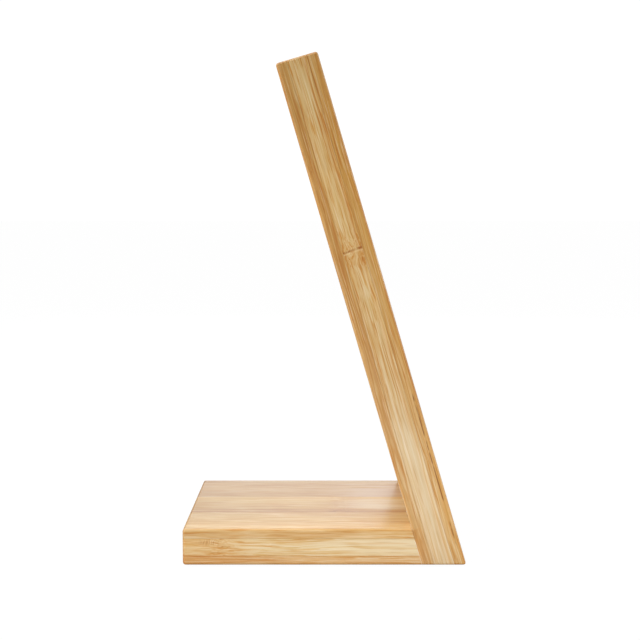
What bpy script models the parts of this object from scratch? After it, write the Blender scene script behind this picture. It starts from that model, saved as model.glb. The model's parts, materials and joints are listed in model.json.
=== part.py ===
"""Phone stand of laminated bamboo: a level base, and a back board that leans back over it.

Units are metres. +Z is up, the front faces -Y and the width runs along X. The origin lies on
the desk, at the centre of the rectangle that the stand covers.

Each board is a panel of three layers, and each layer is made of strips glued edge to edge. The
back board is modelled lying in its own upright frame, whose origin is the toe: Z runs up along
the front face and Y runs into the board. Its parent empty leans that frame back.
"""

import math

import bmesh
import bpy
from mathutils import Matrix, Vector

# The stand as a whole
WIDTH = 0.080
FOOTPRINT = 0.100
LEAN = math.radians(16.4)
BOARD_LENGTH = 0.1865
ARRIS_ROUND = 0.0010
ARRIS_SEGMENTS = 3

# Layers of the two panels: base from the bottom up, back board from the front to the rear
BASE_LAYERS = (0.0034, 0.0062, 0.0034)
BOARD_LAYERS = (0.0040, 0.0070, 0.0040)
GLUE_GAP = 0.0003

# Strips: their full width in a face layer and in a core layer, and how much of the first strip
# each layer keeps after its panel was cut to size
FACE_STRIP = 0.025
CORE_STRIP = 0.020
BASE_BOTTOM_FIRST = 0.014
BASE_CORE_FIRST = 0.010
BASE_TOP_FIRST = 0.0245
BOARD_FRONT_FIRST = 0.020
BOARD_CORE_FIRST = 0.012
BOARD_REAR_FIRST = 0.007

# Dowels across the joint
DOWEL_RADIUS = 0.0020
DOWEL_IN_BOARD = 0.0085
DOWEL_IN_BASE = 0.0115
DOWEL_CHAMFER = 0.0004
DOWEL_SPACING = 0.024
DOWEL_COUNT = 3

# Magnet ring and bar, let into the back of the board's front layer
SKIN = 0.0010
MAGNET_THICKNESS = 0.0016
SHUNT_THICKNESS = 0.0005
RING_HEIGHT = 0.110
RING_INNER = 0.0230
RING_OUTER = 0.0270
RING_STEPS = 64
MAGNET_COUNT = 16
MAGNET_SPACE = math.radians(1.0)
BAR_WIDTH = 0.0054
BAR_LENGTH = 0.0190
BAR_BELOW_RING = 0.041

# Feet
FOOT_RADIUS = 0.0040
FOOT_THICKNESS = 0.0015
FOOT_PROUD = 0.0005
FOOT_FROM_SIDE = 0.008
FOOT_FROM_REAR = 0.010
FOOT_FROM_JOINT = 0.010
FOOT_CHAMFER = 0.0002

# Sides of every round piece, and what a cutter passes the surface by
ROUND_SIDES = 32
OVERCUT = 0.0010

# Worked out from the sizes above
BASE_Z = FOOT_PROUD
BASE_THICKNESS = sum(BASE_LAYERS)
BASE_TOP_Z = BASE_Z + BASE_THICKNESS
BOARD_THICKNESS = sum(BOARD_LAYERS)
TOE_TRIM = ARRIS_ROUND * (1 - math.tan(math.pi / 4 - LEAN / 2))
TOE_Y = -FOOTPRINT / 2 - TOE_TRIM
REAR_Y = FOOTPRINT / 2
SIDE_X = WIDTH / 2

# Colours and finishes
FACE_BAMBOO = (0.62, 0.38, 0.17)
CORE_BAMBOO = (0.69, 0.49, 0.27)
BEECH = (0.62, 0.42, 0.26)
NICKEL = (0.66, 0.64, 0.60)
STEEL = (0.50, 0.50, 0.51)
SILICONE = (0.78, 0.78, 0.76)


def clear_scene():
    for item in list(bpy.data.objects):
        bpy.data.objects.remove(item, do_unlink=True)


def give_material(part, colour, roughness, metallic=0.0):
    made = bpy.data.materials.new(part.name)
    made.use_nodes = True
    shader = made.node_tree.nodes["Principled BSDF"]
    shader.inputs["Base Color"].default_value = (*colour, 1.0)
    shader.inputs["Roughness"].default_value = roughness
    shader.inputs["Metallic"].default_value = metallic
    made.diffuse_color = (*colour, 1.0)
    part.data.materials.append(made)


def make_object(name, shape, parent=None):
    """Turns a bmesh into a named object, and frees the bmesh."""
    mesh = bpy.data.meshes.new(name)
    bmesh.ops.recalc_face_normals(shape, faces=shape.faces)
    shape.to_mesh(mesh)
    shape.free()
    part = bpy.data.objects.new(name, mesh)
    bpy.context.scene.collection.objects.link(part)
    part.parent = parent
    return part


def make_cutter(name, shape, parent=None):
    cutter = make_object(name, shape, parent)
    cutter.hide_render = True
    cutter.display_type = "WIRE"
    return cutter


def cut(part, cutter):
    tool = part.modifiers.new(cutter.name, "BOOLEAN")
    tool.operation = "DIFFERENCE"
    tool.solver = "EXACT"
    tool.object = cutter


def smooth(part):
    part.data.shade_smooth()
    part.data.set_sharp_from_angle(angle=math.radians(35))


# ---------------------------------------------------------------------------
# Strips
# ---------------------------------------------------------------------------


def strip_edges(first, full):
    """The X of each joint in a layer, with the two sides of the panel at the ends."""
    edges = [-SIDE_X]
    joint = -SIDE_X + first
    while joint < SIDE_X:
        edges.append(joint)
        joint += full
    return edges + [SIDE_X]


def strip_spans(first, full):
    """The low and high X of each strip, with half a glue gap taken off at each joint."""
    edges = strip_edges(first, full)
    spans = []
    for low, high in zip(edges, edges[1:]):
        low_trim = 0 if low == -SIDE_X else GLUE_GAP / 2
        high_trim = 0 if high == SIDE_X else GLUE_GAP / 2
        spans.append((low + low_trim, high - high_trim))
    return spans


def layer_spans(layers):
    """The low and high edge of each layer, with half a glue gap taken off inside the panel."""
    spans = []
    start = 0.0
    for index, thickness in enumerate(layers):
        low_trim = GLUE_GAP / 2 if index > 0 else 0
        high_trim = GLUE_GAP / 2 if index < len(layers) - 1 else 0
        spans.append((start + low_trim, start + thickness - high_trim))
        start += thickness
    return spans


def prism(outline, low_x, high_x):
    """A closed solid: an outline in the YZ plane, pulled along X."""
    shape = bmesh.new()
    corners = [shape.verts.new((low_x, y, z)) for y, z in outline]
    face = shape.faces.new(corners)
    pulled = bmesh.ops.extrude_face_region(shape, geom=[face])
    moved = [item for item in pulled["geom"] if isinstance(item, bmesh.types.BMVert)]
    bmesh.ops.translate(shape, verts=moved, vec=(high_x - low_x, 0, 0))
    bmesh.ops.recalc_face_normals(shape, faces=shape.faces)
    return shape


def lies_on(face, plane):
    point, normal = plane
    distance = (face.calc_center_median() - point).dot(normal)
    return face.normal.dot(normal) > 0.999 and abs(distance) < 1e-6


def outside_edges(shape, planes):
    """The edges between two faces that both lie on the panel's outside."""
    outside = [face for face in shape.faces if any(lies_on(face, plane) for plane in planes)]
    return [edge for edge in shape.edges if all(face in outside for face in edge.link_faces)]


def round_arrises(shape, edges):
    if edges:
        bmesh.ops.bevel(
            shape,
            geom=edges,
            offset=ARRIS_ROUND,
            offset_type="OFFSET",
            segments=ARRIS_SEGMENTS,
            profile=0.5,
            affect="EDGES",
        )


def side_planes():
    return [
        (Vector((-SIDE_X, 0, 0)), Vector((-1, 0, 0))),
        (Vector((SIDE_X, 0, 0)), Vector((1, 0, 0))),
    ]


# ---------------------------------------------------------------------------
# Base
# ---------------------------------------------------------------------------


def joint_y(height):
    """The Y of the joint's face on the base, one glue gap behind the back board."""
    rise = height - BASE_Z
    return TOE_Y + (BOARD_THICKNESS + GLUE_GAP) / math.cos(LEAN) + rise * math.tan(LEAN)


def base_planes():
    return side_planes() + [
        (Vector((0, 0, BASE_Z)), Vector((0, 0, -1))),
        (Vector((0, 0, BASE_TOP_Z)), Vector((0, 0, 1))),
        (Vector((0, REAR_Y, 0)), Vector((0, 1, 0))),
    ]


def make_base_layer(name, span, first, full, colour):
    """One layer of the base: its front end is cut to the lean of the back board."""
    low = BASE_Z + span[0]
    high = BASE_Z + span[1]
    outline = [(joint_y(low), low), (REAR_Y, low), (REAR_Y, high), (joint_y(high), high)]
    strips = []
    for number, (low_x, high_x) in enumerate(strip_spans(first, full), 1):
        shape = prism(outline, low_x, high_x)
        round_arrises(shape, outside_edges(shape, base_planes()))
        strip = make_object(f"{name}_strip_{number}", shape)
        give_material(strip, colour, 0.45)
        smooth(strip)
        strips.append(strip)
    return strips


def make_base():
    bottom_span, core_span, top_span = layer_spans(BASE_LAYERS)
    bottom = make_base_layer("base_bottom", bottom_span, BASE_BOTTOM_FIRST, FACE_STRIP, FACE_BAMBOO)
    core = make_base_layer("base_core", core_span, BASE_CORE_FIRST, CORE_STRIP, CORE_BAMBOO)
    make_base_layer("base_top", top_span, BASE_TOP_FIRST, FACE_STRIP, FACE_BAMBOO)
    return bottom, core


# ---------------------------------------------------------------------------
# Back board
# ---------------------------------------------------------------------------


def make_board_frame():
    frame = bpy.data.objects.new("back_board_frame", None)
    bpy.context.scene.collection.objects.link(frame)
    frame.location = (0, TOE_Y, BASE_Z)
    frame.rotation_euler = (-LEAN, 0, 0)
    return frame


def foot_of_board(depth):
    """How far up the front face the level cut at the foot lies, at this depth in the board."""
    return depth * math.tan(LEAN)


def base_top_on_board():
    """Where the base's top meets the board's rear face, measured up along the board."""
    return BASE_THICKNESS / math.cos(LEAN) + foot_of_board(BOARD_THICKNESS)


def board_planes():
    foot_normal = Vector((0, math.sin(LEAN), -math.cos(LEAN)))
    return side_planes() + [
        (Vector((0, 0, 0)), Vector((0, -1, 0))),
        (Vector((0, BOARD_THICKNESS, 0)), Vector((0, 1, 0))),
        (Vector((0, 0, BOARD_LENGTH)), Vector((0, 0, 1))),
        (Vector((0, 0, 0)), foot_normal),
    ]


def split_at_base(shape):
    """Divides the strip's edges where the base meets it, so that the joint stays sharp."""
    bmesh.ops.bisect_plane(
        shape,
        geom=[*shape.verts, *shape.edges, *shape.faces],
        dist=1e-7,
        plane_co=(0, BOARD_THICKNESS, base_top_on_board()),
        plane_no=(0, 0, 1),
    )


def rear_edge_in_joint(edge):
    """True for an edge of the board's rear face that is covered by the base."""
    on_rear = all(abs(vert.co.y - BOARD_THICKNESS) < 1e-6 for vert in edge.verts)
    below = all(vert.co.z < base_top_on_board() + 1e-6 for vert in edge.verts)
    return on_rear and below


def make_board_layer(name, span, first, full, colour, frame):
    """One layer of the back board: its foot is cut level and its top end is cut square."""
    near, deep = span
    outline = [
        (near, foot_of_board(near)),
        (deep, foot_of_board(deep)),
        (deep, BOARD_LENGTH),
        (near, BOARD_LENGTH),
    ]
    strips = []
    for number, (low_x, high_x) in enumerate(strip_spans(first, full), 1):
        shape = prism(outline, low_x, high_x)
        split_at_base(shape)
        edges = outside_edges(shape, board_planes())
        round_arrises(shape, [edge for edge in edges if not rear_edge_in_joint(edge)])
        strip = make_object(f"{name}_strip_{number}", shape, frame)
        give_material(strip, colour, 0.45)
        smooth(strip)
        strips.append(strip)
    return strips


def make_board(frame):
    front_span, core_span, rear_span = layer_spans(BOARD_LAYERS)
    front = make_board_layer(
        "board_front", front_span, BOARD_FRONT_FIRST, FACE_STRIP, FACE_BAMBOO, frame
    )
    core = make_board_layer(
        "board_core", core_span, BOARD_CORE_FIRST, CORE_STRIP, CORE_BAMBOO, frame
    )
    rear = make_board_layer(
        "board_rear", rear_span, BOARD_REAR_FIRST, FACE_STRIP, FACE_BAMBOO, frame
    )
    return front, core, rear


# ---------------------------------------------------------------------------
# Dowels
# ---------------------------------------------------------------------------


def rod(radius, low, high, chamfer=0.0):
    """A round rod along Y through the origin, with chamfered ends."""
    shape = bmesh.new()
    made = bmesh.ops.create_cone(
        shape,
        cap_ends=True,
        segments=ROUND_SIDES,
        radius1=radius,
        radius2=radius,
        depth=high - low,
    )
    turn = Matrix.Rotation(math.pi / 2, 3, "X")
    bmesh.ops.rotate(shape, verts=made["verts"], cent=(0, 0, 0), matrix=turn)
    bmesh.ops.translate(shape, verts=made["verts"], vec=(0, (low + high) / 2, 0))
    if chamfer:
        rims = [edge for edge in shape.edges if any(len(f.verts) > 4 for f in edge.link_faces)]
        bmesh.ops.bevel(shape, geom=rims, offset=chamfer, segments=1, affect="EDGES")
    return shape


def dowel_places():
    middle = (DOWEL_COUNT - 1) / 2
    joint = joint_y(BASE_Z + BASE_THICKNESS / 2)
    height = BASE_Z + BASE_THICKNESS / 2
    return [((n - middle) * DOWEL_SPACING, joint, height) for n in range(DOWEL_COUNT)]


def make_dowels(strips):
    """Plain beech dowels, level, from the base's core through the joint into the board's core."""
    for number, place in enumerate(dowel_places(), 1):
        dowel = make_object(
            f"joint_dowel_{number}", rod(DOWEL_RADIUS, -DOWEL_IN_BOARD, DOWEL_IN_BASE, DOWEL_CHAMFER)
        )
        dowel.location = place
        give_material(dowel, BEECH, 0.6)
        smooth(dowel)
        hole = make_cutter(
            f"dowel_hole_{number}",
            rod(DOWEL_RADIUS + GLUE_GAP, -DOWEL_IN_BOARD - GLUE_GAP, DOWEL_IN_BASE + GLUE_GAP),
        )
        hole.location = place
        for strip in strips:
            if reaches(strip, place[0], DOWEL_RADIUS + GLUE_GAP):
                cut(strip, hole)


def reaches(strip, middle_x, half_width):
    """True if the strip lies across this band of X."""
    across = [vert.co.x for vert in strip.data.vertices]
    return min(across) < middle_x + half_width and max(across) > middle_x - half_width


# ---------------------------------------------------------------------------
# Magnets
# ---------------------------------------------------------------------------


def ring_section(inner, outer, low, high, angle):
    """The four corners of a ring's cross-section at this angle about the Y axis."""
    across = Vector((math.sin(angle), 0, math.cos(angle)))
    into = Vector((0, 1, 0))
    return [
        across * inner + into * low,
        across * outer + into * low,
        across * outer + into * high,
        across * inner + into * high,
    ]


def ring_solid(inner, outer, low, high, start=0.0, sweep=2 * math.pi):
    """A flat ring about the Y axis, or a sector of one."""
    shape = bmesh.new()
    whole = sweep > 2 * math.pi - 1e-6
    steps = max(1, round(RING_STEPS * sweep / (2 * math.pi)))
    count = steps if whole else steps + 1
    rings = []
    for step in range(count):
        angle = start + sweep * step / steps
        corners = ring_section(inner, outer, low, high, angle)
        rings.append([shape.verts.new(corner) for corner in corners])
    for step in range(steps):
        here = rings[step]
        after = rings[(step + 1) % count]
        for side in range(4):
            other = (side + 1) % 4
            shape.faces.new((here[side], here[other], after[other], after[side]))
    if not whole:
        shape.faces.new(rings[0])
        shape.faces.new(rings[-1])
    return shape


def block(width, low, high, length):
    """A block centred on X and Z, from low to high along Y."""
    half = length / 2
    outline = [(low, -half), (high, -half), (high, half), (low, half)]
    return prism(outline, -width / 2, width / 2)


def ring_place():
    return (0, 0, RING_HEIGHT)


def bar_place():
    return (0, 0, RING_HEIGHT - BAR_BELOW_RING)


def make_pockets(frame, strips):
    """Mills a ring groove and a bar pocket into the back of the board's front layer."""
    deep = BOARD_LAYERS[0] + OVERCUT
    groove = make_cutter(
        "ring_groove",
        ring_solid(RING_INNER - GLUE_GAP, RING_OUTER + GLUE_GAP, SKIN, deep),
        frame,
    )
    groove.location = ring_place()
    pocket = make_cutter(
        "bar_pocket",
        block(BAR_WIDTH + 2 * GLUE_GAP, SKIN, deep, BAR_LENGTH + 2 * GLUE_GAP),
        frame,
    )
    pocket.location = bar_place()
    for strip in strips:
        if reaches(strip, 0, RING_OUTER + GLUE_GAP):
            cut(strip, groove)
        if reaches(strip, 0, BAR_WIDTH / 2 + GLUE_GAP):
            cut(strip, pocket)


def make_magnets(frame):
    near = SKIN + GLUE_GAP
    pitch = 2 * math.pi / MAGNET_COUNT
    for number in range(MAGNET_COUNT):
        start = number * pitch + MAGNET_SPACE / 2
        sector = ring_solid(
            RING_INNER, RING_OUTER, near, near + MAGNET_THICKNESS, start, pitch - MAGNET_SPACE
        )
        magnet = make_object(f"ring_magnet_{number + 1:02d}", sector, frame)
        magnet.location = ring_place()
        give_material(magnet, NICKEL, 0.3, 1.0)
    bar = make_object(
        "bar_magnet", block(BAR_WIDTH, near, near + MAGNET_THICKNESS, BAR_LENGTH), frame
    )
    bar.location = bar_place()
    give_material(bar, NICKEL, 0.3, 1.0)


def make_shunt(frame):
    """The steel ring behind the magnets, which closes their field on the side away from the phone."""
    near = SKIN + 2 * GLUE_GAP + MAGNET_THICKNESS
    shunt = make_object(
        "shunt_ring", ring_solid(RING_INNER, RING_OUTER, near, near + SHUNT_THICKNESS), frame
    )
    shunt.location = ring_place()
    give_material(shunt, STEEL, 0.35, 1.0)


# ---------------------------------------------------------------------------
# Feet
# ---------------------------------------------------------------------------


def disc(radius, low, high, chamfer=0.0):
    """A round disc about the Z axis, with its lower rim chamfered."""
    shape = bmesh.new()
    made = bmesh.ops.create_cone(
        shape,
        cap_ends=True,
        segments=ROUND_SIDES,
        radius1=radius,
        radius2=radius,
        depth=high - low,
    )
    bmesh.ops.translate(shape, verts=made["verts"], vec=(0, 0, (low + high) / 2))
    if chamfer:
        rim = [edge for edge in shape.edges if all(v.co.z < low + 1e-6 for v in edge.verts)]
        bmesh.ops.bevel(shape, geom=rim, offset=chamfer, segments=1, affect="EDGES")
    return shape


def foot_places():
    across = SIDE_X - FOOT_FROM_SIDE
    front = joint_y(BASE_Z) + FOOT_FROM_JOINT
    rear = REAR_Y - FOOT_FROM_REAR
    return {
        "front_left": (-across, front, 0),
        "front_right": (across, front, 0),
        "rear_left": (-across, rear, 0),
        "rear_right": (across, rear, 0),
    }


def make_feet(strips):
    """Silicone discs, glued into shallow blind holes under the base."""
    for where, place in foot_places().items():
        foot = make_object(f"foot_{where}", disc(FOOT_RADIUS, 0, FOOT_THICKNESS, FOOT_CHAMFER))
        foot.location = place
        give_material(foot, SILICONE, 0.7)
        smooth(foot)
        hole = make_cutter(
            f"foot_hole_{where}",
            disc(FOOT_RADIUS + GLUE_GAP, -OVERCUT, FOOT_THICKNESS + GLUE_GAP),
        )
        hole.location = place
        for strip in strips:
            if reaches(strip, place[0], FOOT_RADIUS + GLUE_GAP):
                cut(strip, hole)


clear_scene()
base_bottom, base_core = make_base()
board_frame = make_board_frame()
board_front, board_core, board_rear = make_board(board_frame)
make_dowels(base_core + board_rear + board_core)
make_pockets(board_frame, board_front)
make_magnets(board_frame)
make_shunt(board_frame)
make_feet(base_bottom)
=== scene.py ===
import json
import math
import random
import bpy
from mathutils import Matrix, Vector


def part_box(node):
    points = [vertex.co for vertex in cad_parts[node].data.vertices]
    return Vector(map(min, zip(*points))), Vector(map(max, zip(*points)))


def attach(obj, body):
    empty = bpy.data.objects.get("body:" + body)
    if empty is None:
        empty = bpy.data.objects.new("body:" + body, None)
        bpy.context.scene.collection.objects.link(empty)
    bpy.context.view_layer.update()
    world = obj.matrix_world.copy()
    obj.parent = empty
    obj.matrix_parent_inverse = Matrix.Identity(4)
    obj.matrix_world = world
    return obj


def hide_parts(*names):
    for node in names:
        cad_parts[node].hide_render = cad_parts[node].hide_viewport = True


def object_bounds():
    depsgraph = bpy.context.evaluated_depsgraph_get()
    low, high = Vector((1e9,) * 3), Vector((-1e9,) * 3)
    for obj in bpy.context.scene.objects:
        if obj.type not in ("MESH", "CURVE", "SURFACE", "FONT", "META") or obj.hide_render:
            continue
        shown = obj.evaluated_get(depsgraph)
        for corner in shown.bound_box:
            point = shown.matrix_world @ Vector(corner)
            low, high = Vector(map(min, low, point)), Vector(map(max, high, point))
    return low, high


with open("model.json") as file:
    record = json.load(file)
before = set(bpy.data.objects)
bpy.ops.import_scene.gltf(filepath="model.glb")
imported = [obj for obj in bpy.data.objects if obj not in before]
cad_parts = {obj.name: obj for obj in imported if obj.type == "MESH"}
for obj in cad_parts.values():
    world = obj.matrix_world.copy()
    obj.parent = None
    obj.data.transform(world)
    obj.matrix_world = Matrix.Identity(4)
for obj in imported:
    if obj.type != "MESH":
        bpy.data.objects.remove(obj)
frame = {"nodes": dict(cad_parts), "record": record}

from types import SimpleNamespace

import bmesh
import bpy
from mathutils import Matrix, Vector

cad_low, cad_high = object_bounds()
record = frame["record"]
random.seed(41)


# ---------------------------------------------------------------------------
# Back board
# The tall panel that the phone leans on. It is three-layer bamboo panel: strips planed flat, glued
# edge to edge and then face to face, with the grain of all three layers running the long way. Its
# foot is cut level to stand on the desk, and its free edges are sanded round.
# ---------------------------------------------------------------------------

ARRIS_ROUND = 0.0010      # sanded round on every free edge
ARRIS_STEPS = 3           # facets across that round, as many as the CAD has
HAIRLINE = 0.00002        # half the width of the line that a tight glue joint leaves
PRESSED_GAP = 0.00015     # half of the gap that the CAD strips keep
TOUCH = 1e-6              # nearer than this is on the same face
SHARP = math.radians(32)  # a corner that turns more than this stays crisp
NEARLY_FLAT = 0.1         # radians: faces that meet at less than this have no arris between them
MM = 1000                 # the wood's pattern is worked out in millimetres

phone_face = next(m for m in record["mounts"] if m["name"] == "phone_face")
LEAN = math.asin(phone_face["axis"][2])
HALF_WIDTH = cad_high.x
BASE_UNDER_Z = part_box("base_bottom_strip_1")[0].z
BASE_TOP_Z, BASE_REAR_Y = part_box("base_top_strip_1")[1].z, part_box("base_top_strip_1")[1].y
BASE_THICK = BASE_TOP_Z - BASE_UNDER_Z

# The show face of the board runs through the phone mount and meets the underside at the toe.
face_point = Vector(phone_face["pos_m"])
TOE_Y = face_point.y - (face_point.z - BASE_UNDER_Z) * math.tan(LEAN)


def box_in(panel_frame, node):
    """The lowest and highest corner of a CAD node in the frame of a panel."""
    to_panel = panel_frame.inverted()
    points = [to_panel @ v.co for v in frame["nodes"][node].data.vertices]
    low = Vector([min(p[axis] for p in points) for axis in range(3)])
    high = Vector([max(p[axis] for p in points) for axis in range(3)])
    return low, high


# A panel's own frame has X across it, Y in from its show face, and Z along its grain. near_end
# gives how far along it the near end is cut, at a depth in the panel.
board_frame = Matrix.Translation((0, TOE_Y, BASE_UNDER_Z)) @ Matrix.Rotation(-LEAN, 4, "X")
board = SimpleNamespace(
    frame=board_frame,
    thick=box_in(board_frame, "board_rear_strip_1")[1].y,
    near_end=lambda depth: depth * math.tan(LEAN),
    far_end=box_in(board_frame, "board_front_strip_1")[1].z,
    near_is_free=True,
)
# How far up the rear of the board the base is glued to it.
JOINT_TOP = BASE_THICK / math.cos(LEAN) + board.thick * math.tan(LEAN)


def finish_mesh(name, shape, place=Matrix.Identity(4)):
    """Turns a bmesh into an object, smooth but for its sharp corners, and frees the bmesh."""
    bmesh.ops.recalc_face_normals(shape, faces=shape.faces)
    mesh = bpy.data.meshes.new(name)
    shape.to_mesh(mesh)
    shape.free()
    mesh.transform(place)
    mesh.shade_smooth()
    mesh.set_sharp_from_angle(angle=SHARP)
    piece = bpy.data.objects.new(name, mesh)
    bpy.context.scene.collection.objects.link(piece)
    return piece


def on_plane(edge_or_face, point, normal):
    """Whether every corner of an edge or a face lies on the plane through a point."""
    return all(abs((v.co - Vector(point)).dot(Vector(normal))) < TOUCH for v in edge_or_face.verts)


def strip_shape(low, high, panel):
    """A planed strip: square where it is glued, and rounded along the free edges of its panel."""
    squeeze = HAIRLINE - PRESSED_GAP
    if low.x > -HALF_WIDTH + TOUCH:
        low.x += squeeze
    if high.x < HALF_WIDTH - TOUCH:
        high.x -= squeeze
    if low.y > TOUCH:
        low.y += squeeze
    if high.y < panel.thick - TOUCH:
        high.y -= squeeze
    outline = [(low.y, panel.near_end(low.y)), (high.y, panel.near_end(high.y)),
               (high.y, panel.far_end), (low.y, panel.far_end)]
    shape = bmesh.new()
    corners = [shape.verts.new((low.x, y, z)) for y, z in outline]
    pulled = bmesh.ops.extrude_face_region(shape, geom=[shape.faces.new(corners)])
    moved = [item for item in pulled["geom"] if isinstance(item, bmesh.types.BMVert)]
    bmesh.ops.translate(shape, verts=moved, vec=(high.x - low.x, 0, 0))

    rear = ((0, panel.thick, 0), (0, 1, 0))
    sides = [((-HALF_WIDTH, 0, 0), (1, 0, 0)), ((HALF_WIDTH, 0, 0), (1, 0, 0)),
             ((0, 0, 0), (0, 1, 0)), rear, ((0, 0, panel.far_end), (0, 0, 1))]
    if panel.near_is_free:
        # The rear is rounded down to the base only: below that it is inside the joint.
        bmesh.ops.bisect_plane(shape, geom=[*shape.verts, *shape.edges, *shape.faces],
                               plane_co=(0, panel.thick, JOINT_TOP), plane_no=(0, 0, 1))
        sides.append(((0, 0, 0), (0, -math.sin(LEAN), math.cos(LEAN))))
    free = [f for f in shape.faces if any(on_plane(f, *side) for side in sides)]
    edges = [e for e in shape.edges
             if all(f in free for f in e.link_faces) and e.calc_face_angle(0) > NEARLY_FLAT]
    if panel.near_is_free:
        edges = [e for e in edges
                 if not (on_plane(e, *rear) and all(v.co.z < JOINT_TOP + TOUCH for v in e.verts))]
    if edges:
        bmesh.ops.bevel(shape, geom=edges, offset=ARRIS_ROUND, offset_type="OFFSET",
                        segments=ARRIS_STEPS, profile=0.5, affect="EDGES")
    return shape


def ready_for_lacquer(piece, panel):
    """Stores where each point lies in its panel, in mm, and how far it is worn or shows its end."""
    stores = piece.data.attributes
    for name, kind in (("grain_place", "FLOAT_VECTOR"), ("arris", "FLOAT"), ("end_grain", "FLOAT")):
        if name not in stores:
            stores.new(name, kind, "POINT")
    to_panel = panel.frame.inverted()
    for v in piece.data.vertices:
        at = to_panel @ v.co
        ends = [panel.far_end - at.z]
        if panel.near_is_free:
            ends.append((at.z - panel.near_end(at.y)) * math.cos(LEAN))
        depths = sorted([HALF_WIDTH - abs(at.x), at.y, panel.thick - at.y, *ends])
        stores["grain_place"].data[v.index].vector = at * MM
        stores["arris"].data[v.index].value = max(0.0, 1 - max(0.0, depths[1]) / ARRIS_ROUND)
        stores["end_grain"].data[v.index].value = max(0.0, 1 - max(0.0, min(ends)) / ARRIS_ROUND)
    # The broad faces outweigh the small ones, so they look flat right up to their rounded edges.
    tool = piece.modifiers.new("even_normals", "WEIGHTED_NORMAL")
    tool.weight = 100
    tool.keep_sharp = True


# Moso bamboo, planed and sanded, under a thin satin clear lacquer. The wall of the cane is pale
# and soft inside and dense with tan fibres towards its skin, and where the cane had a joint the
# strip has a knuckle.
GRAIN = {
    # Each pattern's width and its run along the grain in mm, and its detail. Real fibre bundles
    # are 0.2 to 0.4 mm wide: here they are drawn coarser, so that they show.
    "fibre": (0.44, 20.0, 3.0),
    "thread": (0.54, 12.0, 2.0),      # the boldest bundles, which run as separate tan threads
    "line": (0.38, 46.0, 1.0),        # single bundles that run far
    "bundle": (1.9, 150.0, 2.0),      # a group of bundles
    "cloud": (11.0, 60.0, 2.0),       # slow drift of tone in the cane
    "breaks": (3.3, 7.7, 3.0),        # where a dark bundle comes and goes
    "speck": (1.3, 1.3, 1.0),
    "tick": (4.5, 0.42, 0.0),         # short marks that lie across the grain
}
WAVER = (5.0, 32.0)       # the grain is never quite straight: how wide and how long its bends are
CURL = (2.4, 6.5)         # and round a knuckle
CURL_REACH = 4.5
WOBBLE_RUN = 7.0          # a knuckle's line wanders, in bends as long as this
WOBBLE_REACH = 2.6        # and as far as this
WOBBLE_CUT = 21.0         # keeps that wander out of step with the grain
KNUCKLE_SWELL = 11.0      # grain runs wild this far to either side of a knuckle
KNUCKLE_LINE = 0.55       # the knuckle's own line
RIDGE_FROM, RIDGE_TOP, RIDGE_TO = -1.2, -0.75, -0.3    # its ridge, counted from that line
CALM_SPREAD = 15.0        # bold grain fades over this far to either side of where it calms down
CALM_SHARE = 0.3          # to this share of its strength
BAND_DRIFT = 0.28         # the bundles push the edges of the bands in and out by this
DOT = (0.75, 11.0)        # the dark bundle ends on a sawn end: their spacing and run
DOT_FALL = -0.6           # the wood falls away between them, for a rise of 1 on the fibres
FIBRE_HEIGHT = 0.00003    # the lacquer sinks this far between the fibres, in metres
SATIN = (0.40, 0.54)      # roughness of the lacquer between the fibres and on them
THIRSTY = 0.10            # what the end grain adds to it, where the lacquer soaks in
NOISE_LOW, NOISE_HIGH = 0.3, 0.7    # nearly every value of a noise lies between these

STREAK_TINT = "#F1DEB2"
THREAD_TINT = "#F0D49F"
LINE_TINT = "#EFD099"
STRAW = "#F1DFBE"
DOT_TINT = "#CBA97A"
END_TINT = "#E8D8BC"
ARRIS_TINT = "#EFCE98"
CLOUD_TINT = "#F1E5D0"
KNUCKLE_TINT = "#BE925A"
RIDGE_TINT = "#EDD8A8"
SWELL_TINT = "#F3DDB6"
SCAR_TINT = "#CDA97A"
DARK_TINT = "#B39164"
# Painted light: a pale tint laid on the base top where the board's overhang shades it.
PAINTED_LIGHT_TINT = "#F3E6D6"


def linear(code):
    """The linear colour of an sRGB hex code."""
    levels = [int(code[i:i + 2], 16) / 255 for i in (1, 3, 5)]
    bent = [c / 12.92 if c <= 0.04045 else ((c + 0.055) / 1.055) ** 2.4 for c in levels]
    return (*bent, 1.0)


def add_node(tree, kind, settings=(), values=(), links=(), stops=()):
    """Adds a node with its settings, its values, what feeds its sockets, and a ramp's stops.

    A Map Range's sockets 1 to 4 are from low, from high, to low and to high, and a Mix's 0, 6 and
    7 are how much and the two colours.
    """
    node = tree.nodes.new(kind)
    for name, value in dict(settings).items():
        setattr(node, name, value)
    for socket, value in dict(values).items():
        node.inputs[socket].default_value = value
    for socket, source in dict(links).items():
        if isinstance(source, bpy.types.Node):
            source = source.outputs[0]
        tree.links.new(source, node.inputs[socket])
    for index, (position, colour) in enumerate(stops):
        elements = node.color_ramp.elements
        element = elements[index] if index < 2 else elements.new(position)
        element.position = position
        element.color = linear(colour)
    return node


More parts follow.
